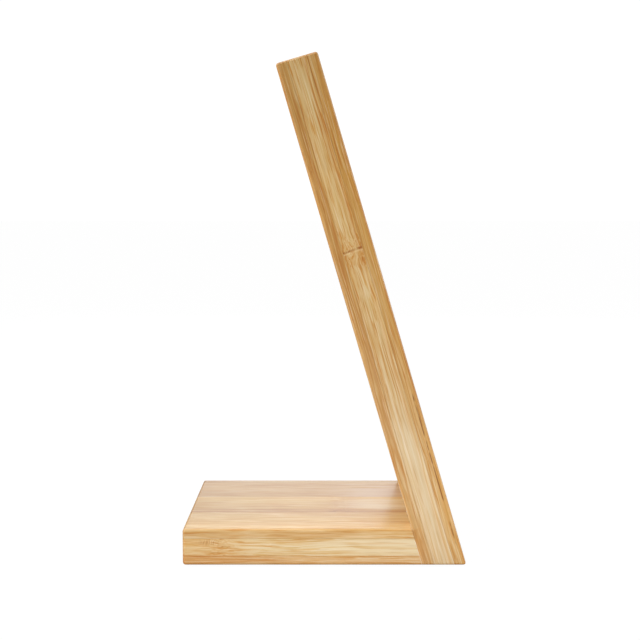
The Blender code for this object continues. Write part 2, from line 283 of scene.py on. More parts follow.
def lacquered_bamboo(name, seed, bands, tone, across=(), along=(), waver=0.9, threads=0.7,
                     calm=None, knuckle=None, marks_and_painted_light=()):
    """Bamboo in satin lacquer: warm, lined along the grain, with a soft broad shine.

    bands, across and along are (mm, colour) stops in from the show face, across the panel and up
    its grain. waver is how far in mm the grain strays, and threads how strongly its tan threads
    show, which is less below calm, a place in mm up the grain. knuckle is (place in mm, swirl of
    the grain, strength of the line). Each entry of the last argument is a real mark or a patch of
    painted light: (tint, blend, share, grain that breaks it up, {axis: (from, to, soft edge)}).
    """
    made = bpy.data.materials.new(name)
    made.use_nodes = True
    tree = made.node_tree
    shader = tree.nodes["Principled BSDF"]
    place = add_node(tree, "ShaderNodeAttribute", {"attribute_name": "grain_place"}).outputs[1]
    straight = add_node(tree, "ShaderNodeSeparateXYZ", {}, {}, {0: place}).outputs

    bends = [(WAVER, waver * 2, None)]
    if knuckle:
        at, swirl, line = knuckle
        wander = add_node(tree, "ShaderNodeTexNoise", {"noise_dimensions": "4D"},
                          {"W": seed + WOBBLE_CUT, "Scale": 1 / WOBBLE_RUN}, {"Vector": place})
        wandered = add_node(tree, "ShaderNodeMath", {"operation": "MULTIPLY_ADD"},
                            {1: WOBBLE_REACH}, {0: wander, 2: straight["Z"]})
        past = add_node(tree, "ShaderNodeMath", {"operation": "SUBTRACT"},
                        {1: at + WOBBLE_REACH / 2}, {0: wandered})
        apart = add_node(tree, "ShaderNodeMath", {"operation": "ABSOLUTE"}, {}, {0: past})
        near = add_node(tree, "ShaderNodeMapRange", {"interpolation_type": "SMOOTHSTEP"},
                        {1: 0.0, 2: KNUCKLE_SWELL, 3: swirl, 4: 0.0}, {0: apart})
        bends.append((CURL, CURL_REACH, near))
    for (width, run), reach, where in bends:
        drawn = add_node(tree, "ShaderNodeMapping", {},
                         {"Scale": (1 / width, 1 / width, 1 / run)}, {"Vector": place})
        stray = add_node(tree, "ShaderNodeTexNoise", {"noise_dimensions": "4D"},
                         {"W": seed + width, "Scale": 1.0}, {"Vector": drawn}).outputs["Color"]
        push = add_node(tree, "ShaderNodeVectorMath", {"operation": "SUBTRACT"},
                        {1: (0.5, 0.5, 0.5)}, {0: stray})
        push = add_node(tree, "ShaderNodeVectorMath", {"operation": "SCALE"},
                        {"Scale": reach}, {0: push})
        if where:
            push = add_node(tree, "ShaderNodeVectorMath", {"operation": "SCALE"}, {},
                            {0: push, "Scale": where})
        place = add_node(tree, "ShaderNodeVectorMath", {"operation": "ADD"}, {},
                         {0: place, 1: push}).outputs[0]
    bent = add_node(tree, "ShaderNodeSeparateXYZ", {}, {}, {0: place}).outputs

    grain = {}
    needed = ["fibre", "thread", "line", "bundle", "cloud"] + ["speck"] * bool(knuckle)
    for kind in needed + sorted({patch[3] for patch in marks_and_painted_light} - set(needed)):
        width, run, detail = GRAIN[kind]
        drawn = add_node(tree, "ShaderNodeMapping", {},
                         {"Scale": (1 / width, 1 / width, 1 / run)}, {"Vector": place})
        grain[kind] = add_node(tree, "ShaderNodeTexNoise", {"noise_dimensions": "4D"},
                               {"W": seed + run, "Scale": 1.0, "Detail": detail,
                                "Roughness": 0.55}, {"Vector": drawn})

    # Depth in the panel decides the main tone, and the bundles make that wander a little.
    drift = add_node(tree, "ShaderNodeMapRange", {},
                     {1: NOISE_LOW, 2: NOISE_HIGH, 3: -BAND_DRIFT, 4: BAND_DRIFT},
                     {0: grain["bundle"]})
    depth = add_node(tree, "ShaderNodeMath", {"operation": "ADD"}, {}, {0: bent["Y"], 1: drift})
    colour = None
    for source, stops in ((depth, bands), (bent["X"], across), (bent["Z"], along)):
        if not stops:
            continue
        first, last = stops[0][0], stops[-1][0]
        stops = [((at - first) / (last - first), code) for at, code in stops]
        share = add_node(tree, "ShaderNodeMapRange", {}, {1: first, 2: last}, {0: source})
        shade = add_node(tree, "ShaderNodeValToRGB", {}, {}, {0: share}, stops)
        if colour:
            shade = add_node(tree, "ShaderNodeMix",
                             {"data_type": "RGBA", "blend_type": "MULTIPLY"},
                             {0: 1.0}, {6: colour, 7: shade}).outputs[2]
        colour = shade.outputs[0] if isinstance(shade, bpy.types.Node) else shade

    end_grain = add_node(tree, "ShaderNodeAttribute", {"attribute_name": "end_grain"}).outputs[2]
    arris = add_node(tree, "ShaderNodeAttribute", {"attribute_name": "arris"}).outputs[2]
    # Each strip has its own scatter of dots.
    drawn = add_node(tree, "ShaderNodeMapping", {},
                     {"Location": (seed, seed * 0.7, 0),
                      "Scale": (1 / DOT[0], 1 / DOT[0], 1 / DOT[1])}, {"Vector": place})
    cell = add_node(tree, "ShaderNodeTexVoronoi", {}, {"Scale": 1.0, "Randomness": 0.9},
                    {"Vector": drawn})

    bold = []
    if calm:
        bold.append((bent["Z"], calm - CALM_SPREAD, calm + CALM_SPREAD, CALM_SHARE, 1.0))
    # Each tint is laid where its masks allow: what a mask follows, from, to, its share at each.
    tints = [
        (CLOUD_TINT, "MULTIPLY", [(grain["cloud"], 0.42, 0.66, 0.0, 0.85)]),
        (STREAK_TINT, "MULTIPLY", [(grain["bundle"], 0.48, 0.70, 0.0, 0.60)]),
        (STREAK_TINT, "MULTIPLY", [(grain["fibre"], 0.47, 0.64, 0.0, 0.80), *bold]),
        (STRAW, "MIX", [(grain["fibre"], 0.32, 0.46, 0.36, 0.0)]),
        (THREAD_TINT, "MULTIPLY", [(grain["thread"], 0.545, 0.64, 0.0, threads), *bold]),
        (LINE_TINT, "MULTIPLY", [(grain["line"], 0.57, 0.64, 0.0, threads), *bold]),
        (DOT_TINT, "MULTIPLY", [(cell, 0.12, 0.42, 1.0, 0.0), (end_grain, 0.4, 1, 0.18, 0.65)]),
        (END_TINT, "MULTIPLY", [(end_grain, 0.4, 1, 0.0, 1.0)]),
        (ARRIS_TINT, "MULTIPLY", [(arris, 0, 1, 0.0, 0.5)]),
    ]
    if knuckle:
        # It browns the grain round it, and a pale ridge runs just before its dark line.
        tints += [
            (SWELL_TINT, "MULTIPLY", [(apart, 0, KNUCKLE_SWELL, swirl * 0.4, 0.0)]),
            (THREAD_TINT, "MULTIPLY", [(apart, 0, KNUCKLE_SWELL * 1.4, swirl * 0.6, 0.0),
                                       (grain["thread"], 0.48, 0.57, 0.0, 1.0)]),
            (KNUCKLE_TINT, "MULTIPLY", [(apart, 0, KNUCKLE_LINE, line, 0.0),
                                        (grain["speck"], 0.36, 0.56, 0.2, 0.9)]),
            (RIDGE_TINT, "MIX", [(past, RIDGE_FROM, RIDGE_TOP, 0.0, line * 0.35),
                                 (past, RIDGE_TOP, RIDGE_TO, 1.0, 0.0)]),
        ]
    # Real marks and patches of painted light are laid on in the same way.
    for code, blend, share, kind, limits in marks_and_painted_light:
        masks = [(grain[kind], 0.42, 0.56, 0.0, share)]
        for axis, (start, stop, soft) in limits.items():
            masks.append((straight[axis], start - soft, start + soft, 0.0, 1.0))
            masks.append((straight[axis], stop - soft, stop + soft, 1.0, 0.0))
        tints.append((code, blend, masks))
    for code, blend, masks in tints:
        amount = None
        for source, low, high, at_low, at_high in masks:
            mask = add_node(tree, "ShaderNodeMapRange", {"interpolation_type": "SMOOTHSTEP"},
                            {1: low, 2: high, 3: at_low, 4: at_high}, {0: source})
            amount = mask if amount is None else add_node(
                tree, "ShaderNodeMath", {"operation": "MULTIPLY"}, {}, {0: amount, 1: mask})
        colour = add_node(tree, "ShaderNodeMix", {"data_type": "RGBA", "blend_type": blend},
                          {7: linear(code)}, {0: amount, 6: colour}).outputs[2]
    colour = add_node(tree, "ShaderNodeMix", {"data_type": "RGBA", "blend_type": "MULTIPLY"},
                      {0: 1.0, 7: linear(tone)}, {6: colour}).outputs[2]
    tree.links.new(colour, shader.inputs["Base Color"])

    # The lacquer is a little duller on the dense fibres and on the thirsty end grain.
    dull = add_node(tree, "ShaderNodeMapRange", {},
                    {1: NOISE_LOW, 2: NOISE_HIGH, 3: SATIN[0], 4: SATIN[1]},
                    {0: grain["fibre"]})
    duller = add_node(tree, "ShaderNodeMath", {"operation": "MULTIPLY_ADD"}, {1: THIRSTY},
                      {0: end_grain, 2: dull})
    tree.links.new(duller.outputs[0], shader.inputs["Roughness"])
    raised = add_node(tree, "ShaderNodeMath", {"operation": "MULTIPLY_ADD"}, {1: DOT_FALL},
                      {0: cell, 2: grain["fibre"]})
    bump = add_node(tree, "ShaderNodeBump", {}, {"Strength": 0.5, "Distance": FIBRE_HEIGHT},
                    {"Height": raised})
    tree.links.new(bump.outputs[0], shader.inputs["Normal"])
    shader.inputs["IOR"].default_value = 1.50
    shader.inputs["Coat Weight"].default_value = 0.30
    shader.inputs["Coat Roughness"].default_value = 0.22
    shader.inputs["Coat IOR"].default_value = 1.50
    return made


# A cane has a knuckle every 20 to 30 cm, so most of the board's strips have one.
KNUCKLE_CHANCE = 0.6


def natural_look(panel):
    """What sets one strip of a panel off from its neighbours."""
    look = dict(
        seed=random.uniform(50, 900),
        tone=random.choice(["#FFFFFF", "#FAF5EA", "#F5EDDD", "#FCF8EE", "#F7EFE2"]),
        threads=random.uniform(0.45, 0.8),
    )
    if random.random() < KNUCKLE_CHANCE:
        place = random.uniform(0.12, 0.88) * panel.far_end * MM
        look["knuckle"] = (place, random.uniform(0.5, 0.9), random.uniform(0.5, 0.8))
    return look


strips = {}


def lay_strips(layer, panel, bands, along, looks):
    """Makes every strip of a layer in place of its CAD node, each with its own cut of bamboo."""
    for node in sorted(n for n in frame["nodes"] if n.startswith(layer + "_strip_")):
        low, high = box_in(panel.frame, node)
        piece = finish_mesh(node + "_planed", strip_shape(low, high, panel), panel.frame)
        ready_for_lacquer(piece, panel)
        look = dict(tone="#FFFFFF", bands=bands, along=along)
        look |= looks.get(node) or natural_look(panel)
        piece.data.materials.append(lacquered_bamboo("lacquered_bamboo_" + node, **look))
        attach(piece, "root")
        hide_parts(node)
        strips[node] = SimpleNamespace(piece=piece, panel=panel, low=low.x, high=high.x)


# The slice of the board that shows on its near side: from and to in mm, and its soft edge.
NEAR_SIDE = (-HALF_WIDTH * MM - 1, -HALF_WIDTH * MM + 1.5, 0.5)

# Every strip here, in all three layers, is painted darker and more golden towards its top end:
# painted shade for the weaker light up the board, which is what the second list of stops says.
# Front layer: close tan fibres, the skin side of the cane outwards, and one dark bundle.
lay_strips("board_front", board, [
    (0.0, "#E6C692"), (0.6, "#E0B36F"), (1.0, "#DDB36F"), (1.6, "#D8B173"), (2.1, "#E2BD83"),
    (2.6, "#D8B57F"), (3.0, "#E2C18B"), (3.6, "#D6AE74"), (4.1, "#E0BC87"),
], [(28, "#FFFFFF"), (59, "#F3F1E7"), (100, "#EFE8D2"), (143, "#EBD9A5"), (174, "#E7D6A9")], {
    "board_front_strip_1": dict(seed=12.3, marks_and_painted_light=[
        (DARK_TINT, "MULTIPLY", 1.0, "breaks",
         {"X": NEAR_SIDE, "Y": (1.30, 1.70, 0.13), "Z": (9, 68, 7)})]),
})
# Core: the pale inner wall of the cane, with one crisp light line and one tan line near the front.
lay_strips("board_core", board, [
    (3.9, "#DAB78B"), (4.35, "#EDDDBE"), (4.75, "#E6CDA4"), (5.05, "#DBB57F"), (5.45, "#E7D1AE"),
    (6.0, "#E1C9A2"), (6.8, "#E8D8BB"), (7.8, "#E7D5B6"), (8.7, "#E9D7BA"), (9.4, "#E1C79C"),
    (9.9, "#E8D4B2"), (10.7, "#E2C8A0"), (11.1, "#DCBD93"),
], [(28, "#FFFFFF"), (59, "#F4F0E6"), (100, "#F1E7CC"), (143, "#F3E2BA"), (174, "#EFE0BA")], {
    "board_core_strip_1": dict(seed=27.1, threads=0.9, calm=62,
                               knuckle=((board.far_end - 0.0685) * MM, 1.0, 0.9)),
})
# Rear layer: tan again, with two darker bands towards its outer face.
lay_strips("board_rear", board, [
    (10.9, "#D1AC76"), (11.5, "#D6B27E"), (12.1, "#C99B60"), (12.4, "#C99C62"), (12.8, "#D7B37E"),
    (13.3, "#CCA267"), (14.1, "#D1A872"), (14.6, "#DAB57E"), (15.0, "#DFBC89"),
], [(28, "#FFFFFF"), (59, "#F3EEE3"), (100, "#F4EED8"), (143, "#FBF6DD"), (174, "#F6F1CE")], {
    "board_rear_strip_1": dict(seed=33.8, threads=0.7),
})


# ---------------------------------------------------------------------------
# Magnets and shunt ring
# Sixteen sintered magnets in a ring and one bar below it, nickel plated, in pockets milled into
# the back of the board's front layer. A pressed steel ring lies behind them.
# ---------------------------------------------------------------------------

POCKET_ROOM = 0.00025     # left round each magnet, and under it
POCKET_RUN_OUT = 0.001    # the mill starts this far clear of the wood
POCKET_SIDES = 96
PER_MM = 1000             # the patterns below are set in grains to the millimetre
SILVER_CLOUD = 0.4 * PER_MM
TUMBLE_MARK = 1.8 * PER_MM
ROLLING_LINE = (5 * PER_MM, 5 * PER_MM, 0.12 * PER_MM)
METAL_MARK_DEPTH = 0.00001

# Nickel plate on a tumbled sintered core: warm silver, faintly cloudy, and very slightly dented.
nickel = bpy.data.materials.new("bright_nickel_plate")
nickel.use_nodes = True
tree = nickel.node_tree
shader = tree.nodes["Principled BSDF"]
place = add_node(tree, "ShaderNodeTexCoord").outputs["Object"]
clouds = add_node(tree, "ShaderNodeTexNoise", {}, {"Scale": SILVER_CLOUD, "Detail": 4.0},
                  {"Vector": place})
marks = add_node(tree, "ShaderNodeTexVoronoi", {"feature": "DISTANCE_TO_EDGE"},
                 {"Scale": TUMBLE_MARK}, {"Vector": place})
plate = add_node(tree, "ShaderNodeValToRGB", {}, {}, {0: clouds},
                 [(NOISE_LOW, "#CFCAC0"), (NOISE_HIGH, "#E2DED6")])
sheen = add_node(tree, "ShaderNodeMapRange", {},
                 {1: NOISE_LOW, 2: NOISE_HIGH, 3: 0.22, 4: 0.36}, {0: clouds})
bump = add_node(tree, "ShaderNodeBump", {}, {"Strength": 0.25, "Distance": METAL_MARK_DEPTH},
                {"Height": marks})
tree.links.new(plate.outputs[0], shader.inputs["Base Color"])
tree.links.new(sheen.outputs[0], shader.inputs["Roughness"])
tree.links.new(bump.outputs[0], shader.inputs["Normal"])
shader.inputs["Metallic"].default_value = 1.0

# Cold-rolled steel: grey, with a dull oily shine and straight rolling lines, 0.2 mm apart.
steel = bpy.data.materials.new("pressed_mild_steel")
steel.use_nodes = True
tree = steel.node_tree
shader = tree.nodes["Principled BSDF"]
place = add_node(tree, "ShaderNodeTexCoord").outputs["Object"]
rolled = add_node(tree, "ShaderNodeMapping", {}, {"Scale": ROLLING_LINE}, {"Vector": place})
lines = add_node(tree, "ShaderNodeTexNoise", {}, {"Scale": 1.0, "Detail": 3.0}, {"Vector": rolled})
sheet = add_node(tree, "ShaderNodeValToRGB", {}, {}, {0: lines},
                 [(NOISE_LOW, "#9C9C9E"), (NOISE_HIGH, "#BDBDBE")])
oily = add_node(tree, "ShaderNodeMapRange", {},
                {1: NOISE_LOW, 2: NOISE_HIGH, 3: 0.30, 4: 0.44}, {0: lines})
bump = add_node(tree, "ShaderNodeBump", {}, {"Strength": 0.3, "Distance": METAL_MARK_DEPTH},
                {"Height": lines})
tree.links.new(sheet.outputs[0], shader.inputs["Base Color"])
tree.links.new(oily.outputs[0], shader.inputs["Roughness"])
tree.links.new(bump.outputs[0], shader.inputs["Normal"])
shader.inputs["Metallic"].default_value = 1.0

magnets = [name for name in sorted(frame["nodes"]) if "magnet" in name]
for name in magnets + ["shunt_ring"]:
    node = frame["nodes"][name]
    node.data.materials.clear()
    node.data.materials.append(nickel if name in magnets else steel)


def carve(layer, cutters):
    """Cuts into a layer's strips the holes that reach them, each (middle, reach, cutter)."""
    for strip in (strips[node] for node in sorted(strips) if node.startswith(layer)):
        reached = [cutter for middle, reach, cutter in cutters
                   if strip.low < middle + reach and strip.high > middle - reach]
        if not reached:
            continue
        piece = strip.piece
        lacquer = piece.data.materials[0]
        piece.modifiers.clear()
        for cutter in reached:
            tool = piece.modifiers.new(cutter.name, "BOOLEAN")
            tool.solver = "EXACT"
            tool.object = cutter
        graph = bpy.context.evaluated_depsgraph_get()
        cut = bpy.data.meshes.new_from_object(piece.evaluated_get(graph), depsgraph=graph)
        cut.name = piece.name
        piece.modifiers.clear()
        piece.data = cut
        cut.materials.clear()
        cut.materials.append(lacquer)
        cut.shade_smooth()
        cut.set_sharp_from_angle(angle=SHARP)
        ready_for_lacquer(piece, strip.panel)


# One groove is milled round for the ring, and one pocket for the bar.
ring_low, ring_high = box_in(board.frame, "shunt_ring")
bar_low, bar_high = box_in(board.frame, "bar_magnet")
ring_z = (ring_low.z + ring_high.z) / 2
ring_points = [board.frame.inverted() @ v.co for v in frame["nodes"]["shunt_ring"].data.vertices]
groove_outer = (ring_high.z - ring_low.z) / 2 + POCKET_ROOM
groove_inner = min(math.hypot(p.x, p.z - ring_z) for p in ring_points) - POCKET_ROOM
floor_y = box_in(board.frame, "ring_magnet_01")[0].y - POCKET_ROOM
mouth_y = box_in(board.frame, "board_front_strip_1")[1].y + POCKET_RUN_OUT

shape = bmesh.new()
section = [shape.verts.new((0, y, ring_z + r)) for r, y in (
    (groove_inner, floor_y), (groove_outer, floor_y),
    (groove_outer, mouth_y), (groove_inner, mouth_y))]
sides = [shape.edges.new(pair) for pair in zip(section, section[1:] + section[:1])]
bmesh.ops.spin(shape, geom=section + sides, cent=(0, 0, ring_z), axis=(0, 1, 0),
               angle=2 * math.pi, steps=POCKET_SIDES, use_merge=True)
ring_groove = finish_mesh("ring_groove", shape, board.frame)

shape = bmesh.new()
bmesh.ops.create_cube(shape, size=1.0)
pocket = Vector((bar_high.x - bar_low.x, mouth_y - floor_y, bar_high.z - bar_low.z))
pocket += Vector((2 * POCKET_ROOM, 0, 2 * POCKET_ROOM))
bmesh.ops.scale(shape, vec=pocket, verts=shape.verts)
bmesh.ops.translate(shape, verts=shape.verts,
                    vec=(0, (floor_y + mouth_y) / 2, (bar_low.z + bar_high.z) / 2))
bar_pocket = finish_mesh("bar_pocket", shape, board.frame)
carve("board_front", [(0.0, groove_outer, ring_groove), (0.0, pocket.x / 2, bar_pocket)])


# ---------------------------------------------------------------------------
# Base
# The level panel that stands on the desk, of the same three layers. Its front end is mitred to the
# lean of the back board and glued to it, flush at both sides, and its other edges are sanded round.
# ---------------------------------------------------------------------------

# Where the mitre comes out at the top of the base, a glue line clear of the board.
MITRE_AT_TOP = TOE_Y + board.thick / math.cos(LEAN) + BASE_THICK * math.tan(LEAN) + 2 * HAIRLINE

base = SimpleNamespace(
    frame=Matrix.Translation((0, 0, BASE_TOP_Z)) @ Matrix.Rotation(-math.pi / 2, 4, "X"),
    thick=BASE_THICK,
    near_end=lambda depth: MITRE_AT_TOP - depth * math.tan(LEAN),
    far_end=BASE_REAR_Y,
    near_is_free=False,
)
REAR = BASE_REAR_Y * MM

# Its top strips grey and its other strips brown a little towards their rear end. Three top strips
# also carry a pale patch by the board: painted light that lifts the shade the board casts there.
BROWN_REAR = [(REAR - 30, "#FFFFFF"), (REAR - 8, "#FBF3E6"), (REAR, "#F7EAD3")]
GREYER_REAR = [(REAR - 70, "#FFFFFF"), (REAR - 40, "#FAF9F7"), (REAR - 15, "#F4F2EF"),
             (REAR, "#F2EFEA")]
# Where the pale patch of painted light lies: on the base top, next to the board.
PAINTED_LIGHT_BY_BOARD = {"X": (-11, HALF_WIDTH * MM + 5, 3), "Z": (REAR - 80, REAR - 60, 10)}

# Top layer: the near strip greys a little across its width, away from its near edge, and the next
# starts with a dark edge.
lay_strips("base_top", base, [
    (0.0, "#E2C288"), (0.5, "#DAB981"), (1.2, "#DDBA84"), (1.9, "#DBB781"), (2.6, "#E0BF8E"),
    (3.3, "#E1C696"),
], GREYER_REAR, {
    "base_top_strip_1": dict(seed=41.9, across=[
        (-40, "#FFFFFF"), (-34.5, "#F7F8F6"), (-27, "#ECEEE6"), (-20, "#E2E1D6"),
        (-15.5, "#DFDCCF")]),
    "base_top_strip_2": dict(seed=48.2, tone="#E8EEE8", knuckle=(REAR - 57.6, 0.5, 0.10), across=[
        (-15.5, "#D6B49A"), (-13.5, "#E0C8B0"), (-9, "#F0E6D6"), (9.5, "#FAF4EA")], marks_and_painted_light=[
        (DARK_TINT, "MULTIPLY", 0.45, "speck",
         {"X": (-15.5, -12.5, 0.8), "Z": (REAR - 60, REAR - 52, 2)}),
        (PAINTED_LIGHT_TINT, "MIX", 0.45, "cloud", PAINTED_LIGHT_BY_BOARD)]),
    "base_top_strip_3": dict(seed=49.7, tone="#D2CCC5",
                             marks_and_painted_light=[(PAINTED_LIGHT_TINT, "MIX", 0.5, "cloud", PAINTED_LIGHT_BY_BOARD)]),
    "base_top_strip_4": dict(seed=52.4, tone="#CDC8C2",
                             marks_and_painted_light=[(PAINTED_LIGHT_TINT, "MIX", 0.5, "cloud", PAINTED_LIGHT_BY_BOARD)]),
})
# Core: pale, and at the rear end its grain curls as it does by a knuckle, with faint short marks
# across it.
lay_strips("base_core", base, [
    (3.3, "#E2CA9C"), (4.1, "#E7D1A8"), (5.0, "#E9D4AF"), (6.0, "#E7D2AA"), (7.1, "#E8D3AB"),
    (8.1, "#E5CEA4"), (8.6, "#E1C696"), (9.1, "#E7D0A6"), (9.6, "#DEBD8C"),
], BROWN_REAR, {
    "base_core_strip_1": dict(seed=55.6, waver=1.1, threads=0.75, calm=REAR - 60,
                              knuckle=(REAR - 14, 0.7, 0.0),
                              marks_and_painted_light=[(SCAR_TINT, "MULTIPLY", 0.45, "tick",
                                      {"Y": (3.9, 5.6, 0.8), "Z": (REAR - 13, REAR - 6, 2)})]),
})
# Bottom layer: tan, even and close-grained.
lay_strips("base_bottom", base, [
    (9.5, "#DFB987"), (10.1, "#E0BE90"), (10.6, "#DDB67F"), (11.2, "#E0B987"), (12.2, "#DFBA88"),
    (12.7, "#D8B27F"), (13.0, "#DEBA8B"),
], BROWN_REAR, {
    "base_bottom_strip_1": dict(seed=61.4),
})


# ---------------------------------------------------------------------------
# Joint dowels
# Three plain beech dowels, level, glued into both boards across the mitre. They are turned,
# chamfered at the ends and grooved along their length so that the glue can escape.
# ---------------------------------------------------------------------------

DOWEL_ROOM = 0.00005      # a film of glue all round
DOWEL_GROOVES = 12
DOWEL_GROOVE_DEPTH = 0.00018
GROOVE_SHARPNESS = 4      # more leaves the grooves narrower and the lands between them wider
DOWEL_SIDES = 96
HOLE_SIDES = 48
DOWEL_CHAMFER = 0.0004
LEVEL = Matrix.Rotation(-math.pi / 2, 4, "X")
BEECH_PORE = (4 * PER_MM, 0.3 * PER_MM, 4 * PER_MM)
BEECH_FLECK = (2.2 * PER_MM, 0.65 * PER_MM, 2.2 * PER_MM)
BEECH_PORE_DEPTH = 0.00003

# Beech: pinkish tan, close-grained along the dowel, with short darker flecks of about 1.5 mm.
beech = bpy.data.materials.new("turned_beech")
beech.use_nodes = True
tree = beech.node_tree
shader = tree.nodes["Principled BSDF"]
place = add_node(tree, "ShaderNodeTexCoord").outputs["Object"]
drawn = add_node(tree, "ShaderNodeMapping", {}, {"Scale": BEECH_PORE}, {"Vector": place})
pores = add_node(tree, "ShaderNodeTexNoise", {}, {"Scale": 1.0, "Detail": 3.0}, {"Vector": drawn})
drawn = add_node(tree, "ShaderNodeMapping", {}, {"Scale": BEECH_FLECK}, {"Vector": place})
flecks = add_node(tree, "ShaderNodeTexVoronoi", {}, {"Scale": 1.0}, {"Vector": drawn})
fleck = add_node(tree, "ShaderNodeMapRange", {}, {1: 0.05, 2: 0.25, 3: 0.6, 4: 0.0}, {0: flecks})
wood = add_node(tree, "ShaderNodeValToRGB", {}, {}, {0: pores},
                [(NOISE_LOW, "#C69A70"), (NOISE_HIGH, "#DDB58C")])
wood = add_node(tree, "ShaderNodeMix", {"data_type": "RGBA", "blend_type": "MULTIPLY"},
                {7: linear("#C08A62")}, {0: fleck, 6: wood})
matt = add_node(tree, "ShaderNodeMapRange", {},
                {1: NOISE_LOW, 2: NOISE_HIGH, 3: 0.55, 4: 0.7}, {0: pores})
bump = add_node(tree, "ShaderNodeBump", {}, {"Strength": 0.4, "Distance": BEECH_PORE_DEPTH},
                {"Height": pores})
tree.links.new(wood.outputs[2], shader.inputs["Base Color"])
tree.links.new(matt.outputs[0], shader.inputs["Roughness"])
tree.links.new(bump.outputs[0], shader.inputs["Normal"])
shader.inputs["IOR"].default_value = 1.5


def turned(name, rings, place):
    """A closed solid from rings of points, each a list of (x, y, height), up one axis."""
    shape = bmesh.new()
    rings = [[shape.verts.new(point) for point in ring] for ring in rings]
    for lower, upper in zip(rings, rings[1:]):
        for k in range(len(lower)):
            after = (k + 1) % len(lower)
            shape.faces.new((lower[k], lower[after], upper[after], upper[k]))
    shape.faces.new(rings[0][::-1])
    shape.faces.new(rings[-1])
    return finish_mesh(name, shape, place)


def circle(radius, height, sides, groove=0.0):
    """One ring of points for turned(), pressed in where the solid has grooves of that depth."""
    points = []
    for angle in (2 * math.pi * k / sides for k in range(sides)):
        pressed = radius - groove * max(0.0, math.cos(DOWEL_GROOVES * angle)) ** GROOVE_SHARPNESS
        points.append((pressed * math.cos(angle), pressed * math.sin(angle), height))
    return points


dowel_holes = []
for node in sorted(n for n in frame["nodes"] if n.startswith("joint_dowel_")):
    low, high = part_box(node)
    middle = (low + high) / 2
    radius = (high.x - low.x) / 2
    half = (high.y - low.y) / 2
    place = Matrix.Translation(middle) @ LEVEL
    dowel = turned(node + "_turned", [
        circle(radius - DOWEL_CHAMFER, -half, DOWEL_SIDES),
        circle(radius, -half + DOWEL_CHAMFER, DOWEL_SIDES, DOWEL_GROOVE_DEPTH),
        circle(radius, half - DOWEL_CHAMFER, DOWEL_SIDES, DOWEL_GROOVE_DEPTH),
        circle(radius - DOWEL_CHAMFER, half, DOWEL_SIDES),
    ], place)
    dowel.data.materials.append(beech)
    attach(dowel, "root")
    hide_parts(node)
    room = radius + DOWEL_ROOM
    hole = turned("hole_for_" + node, [circle(room, -half - DOWEL_ROOM, HOLE_SIDES),
                                       circle(room, half + DOWEL_ROOM, HOLE_SIDES)], place)
    dowel_holes.append((middle.x, room, hole))
for layer in ("board_core", "board_rear", "base_core"):
    carve(layer, dowel_holes)


# ---------------------------------------------------------------------------
# Feet
# Four moulded silicone discs, milky and matt, glued into shallow blind holes under the base and
# standing half a millimetre proud. Their rim is rounded and their tread faintly domed.
# ---------------------------------------------------------------------------

FOOT_ROOM = 0.00012       # glue round the foot and over it
FOOT_RIM = 0.00025
FOOT_RIM_STEPS = 6
FOOT_DOME = 0.00006
FOOT_DOME_RINGS = (0.35, 0.7)
FOOT_CHAMFER = 0.0001
FOOT_SIDES = 64
SILICONE_SKIN = 6.5 * PER_MM
SILICONE_MILK = 0.35 * PER_MM
SILICONE_SKIN_DEPTH = 0.00002
LIGHT_REACH = 0.001       # light gets about this far into the rubber

# Silicone rubber: milky grey-white, with a spark-eroded matt of about 0.15 mm from its mould.
silicone = bpy.data.materials.new("moulded_silicone")
silicone.use_nodes = True
tree = silicone.node_tree
shader = tree.nodes["Principled BSDF"]
place = add_node(tree, "ShaderNodeTexCoord").outputs["Object"]
skin = add_node(tree, "ShaderNodeTexNoise", {}, {"Scale": SILICONE_SKIN, "Detail": 2.0},
                {"Vector": place})
milk = add_node(tree, "ShaderNodeTexNoise", {}, {"Scale": SILICONE_MILK, "Detail": 3.0},
                {"Vector": place})
rubber = add_node(tree, "ShaderNodeValToRGB", {}, {}, {0: milk},
                  [(NOISE_LOW, "#D9D8D2"), (NOISE_HIGH, "#E8E7E2")])
matt = add_node(tree, "ShaderNodeMapRange", {},
                {1: NOISE_LOW, 2: NOISE_HIGH, 3: 0.52, 4: 0.68}, {0: skin})
bump = add_node(tree, "ShaderNodeBump", {}, {"Strength": 0.4, "Distance": SILICONE_SKIN_DEPTH},
                {"Height": skin})
tree.links.new(rubber.outputs[0], shader.inputs["Base Color"])
tree.links.new(matt.outputs[0], shader.inputs["Roughness"])
tree.links.new(bump.outputs[0], shader.inputs["Normal"])
shader.inputs["IOR"].default_value = 1.41
shader.inputs["Subsurface Weight"].default_value = 0.15
shader.inputs["Subsurface Radius"].default_value = [LIGHT_REACH] * 3

foot_holes = []
for node in sorted(n for n in frame["nodes"] if n.startswith("foot_")):
    low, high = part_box(node)
    middle = (low + high) / 2
    radius = (high.x - low.x) / 2
    thick = high.z - low.z
    place = Matrix.Translation((middle.x, middle.y, low.z))
    flat = radius - FOOT_RIM
    rings = [circle(flat * share, FOOT_DOME * share ** 2, FOOT_SIDES)
             for share in FOOT_DOME_RINGS]
    for step in range(FOOT_RIM_STEPS + 1):
        angle = step / FOOT_RIM_STEPS * math.pi / 2
        rings.append(circle(flat + FOOT_RIM * math.sin(angle),
                            FOOT_DOME + FOOT_RIM * (1 - math.cos(angle)), FOOT_SIDES))
    rings.append(circle(radius, thick - FOOT_CHAMFER, FOOT_SIDES))
    rings.append(circle(radius - FOOT_CHAMFER, thick, FOOT_SIDES))
    foot = turned(node + "_moulded", rings, place)
    foot.data.materials.append(silicone)
    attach(foot, "root")
    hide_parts(node)
    room = radius + FOOT_ROOM
    hole = turned("hole_for_" + node, [circle(room, -thick, FOOT_SIDES),
                                       circle(room, thick + FOOT_ROOM, FOOT_SIDES)], place)
    foot_holes.append((middle.x, room, hole))
carve("base_bottom", foot_holes)

